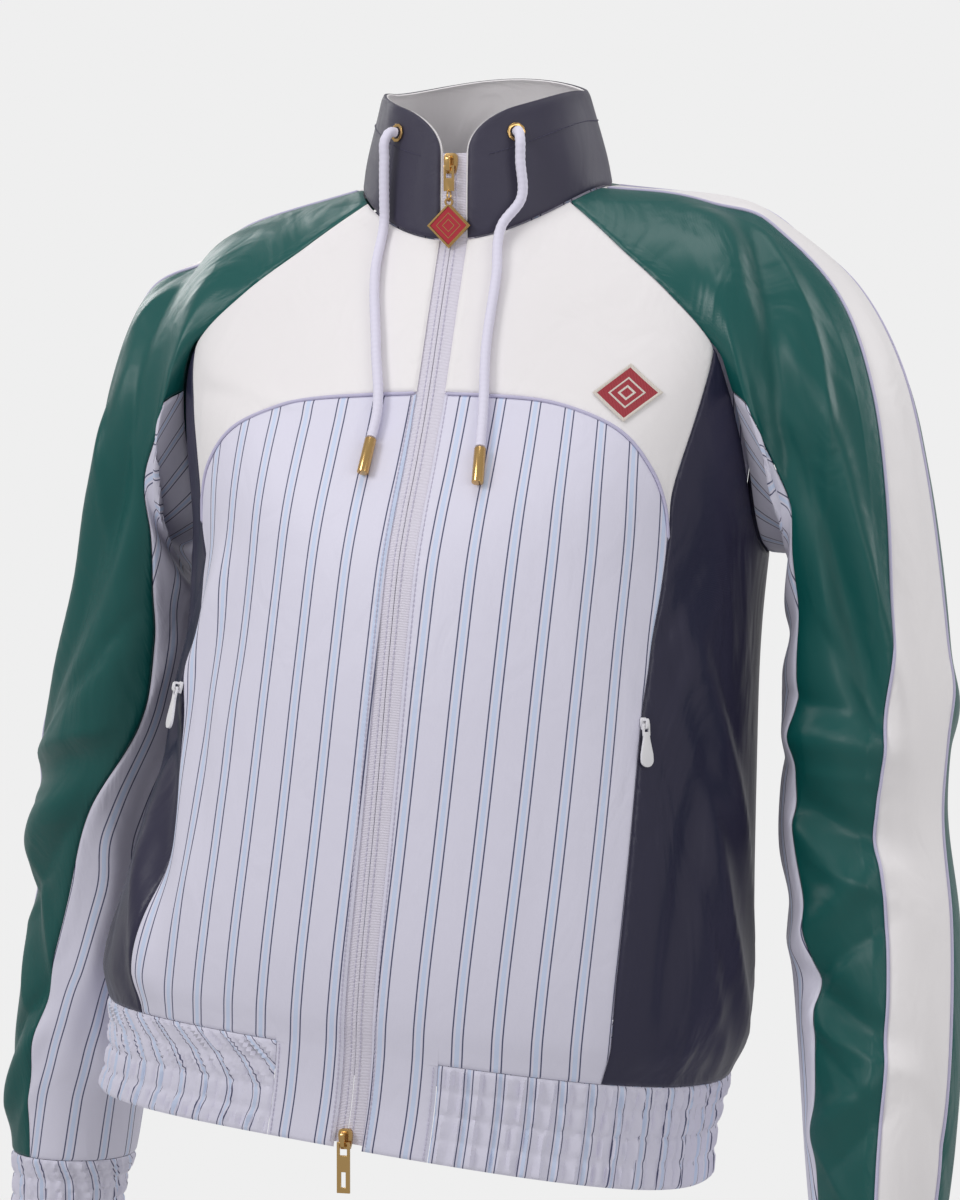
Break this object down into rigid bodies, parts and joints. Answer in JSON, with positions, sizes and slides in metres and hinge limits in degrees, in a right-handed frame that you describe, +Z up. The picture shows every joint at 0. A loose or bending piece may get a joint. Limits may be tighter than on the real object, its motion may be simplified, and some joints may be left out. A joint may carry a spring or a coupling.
{
  "type": "track jacket",
  "caption": "Zip-front track jacket with raglan sleeves, stand collar, drawcord and an elasticated waistband, filled out as worn.",
  "frame": {"origin": "middle of the neck seam, level with its sides, where the wearer's neck and shoulders hold the jacket", "axes": "+Z up, the front faces -Y, the wearer's left is +X"},
  "size_m": [0.6449, 0.2932, 0.7362],
  "materials": {
    "white_satin": "satin",
    "striped_satin": "satin, pinstriped",
    "navy_satin": "satin",
    "green_satin": "satin",
    "zip_tape": "matt",
    "gold_metal": "polished",
    "red_enamel": "gloss",
    "red_embroidery": "embroidered",
    "cord": "braided",
    "white_plastic": "gloss"
  },
  "bodies": {
    "jacket": {"yoke_left": "white_satin", "yoke_right": "white_satin", "front_left": "striped_satin", "front_right": "striped_satin", "side_left": "navy_satin", "side_right": "navy_satin", "back": "striped_satin", "sleeve_left_stripe": "white_satin", "sleeve_left_front": "green_satin", "sleeve_left_under": "striped_satin", "sleeve_left_back": "green_satin", "cuff_left": "striped_satin", "sleeve_right_stripe": "white_satin", "sleeve_right_front": "green_satin", "sleeve_right_under": "striped_satin", "sleeve_right_back": "green_satin", "cuff_right": "striped_satin", "collar": "navy_satin", "collar_facing": "white_satin", "waistband": "striped_satin", "zip_tape_left": "zip_tape", "zip_tape_right": "zip_tape", "zip_slider_top": "gold_metal", "zip_slider_bottom": "gold_metal", "pocket_slider_left": "white_plastic", "pocket_slider_right": "white_plastic", "eyelet_left": "gold_metal", "cord_left": "cord", "aglet_left": "gold_metal", "eyelet_right": "gold_metal", "cord_right": "cord", "aglet_right": "gold_metal", "breast_badge": "red_embroidery"},
    "link": {"zip_link": "gold_metal"},
    "charm": {"zip_charm": "red_enamel"},
    "bottom_pull": {"zip_pull_bottom": "gold_metal"},
    "left_pocket_pull": {"pocket_pull_left": "white_plastic"},
    "right_pocket_pull": {"pocket_pull_right": "white_plastic"}
  },
  "joints": [
    {"name": "link_swing", "type": "hinge", "parent": "jacket", "child": "link", "pos_m": [0, -0.07278, 0.01162], "axis": [-1, 0, 0], "range_deg": [0, 60]},
    {"name": "charm_swing", "type": "hinge", "parent": "link", "child": "charm", "pos_m": [0, -0.07278, -0.00848], "axis": [-1, 0, 0], "range_deg": [-3, 14]},
    {"name": "bottom_pull_swing", "type": "hinge", "parent": "jacket", "child": "bottom_pull", "pos_m": [-0.04, -0.14652, -0.55784], "axis": [-1, 0.0094, 0], "range_deg": [-6, 60]},
    {"name": "left_pocket_pull_swing", "type": "hinge", "parent": "jacket", "child": "left_pocket_pull", "pos_m": [0.1348, -0.11725, -0.31097], "axis": [-0.6558, -0.7549, 0], "range_deg": [-4, 60]},
    {"name": "right_pocket_pull_swing", "type": "hinge", "parent": "jacket", "child": "right_pocket_pull", "pos_m": [-0.15487, -0.11988, -0.29593], "axis": [-0.6706, 0.7418, 0], "range_deg": [-4, 60]}
  ]
}
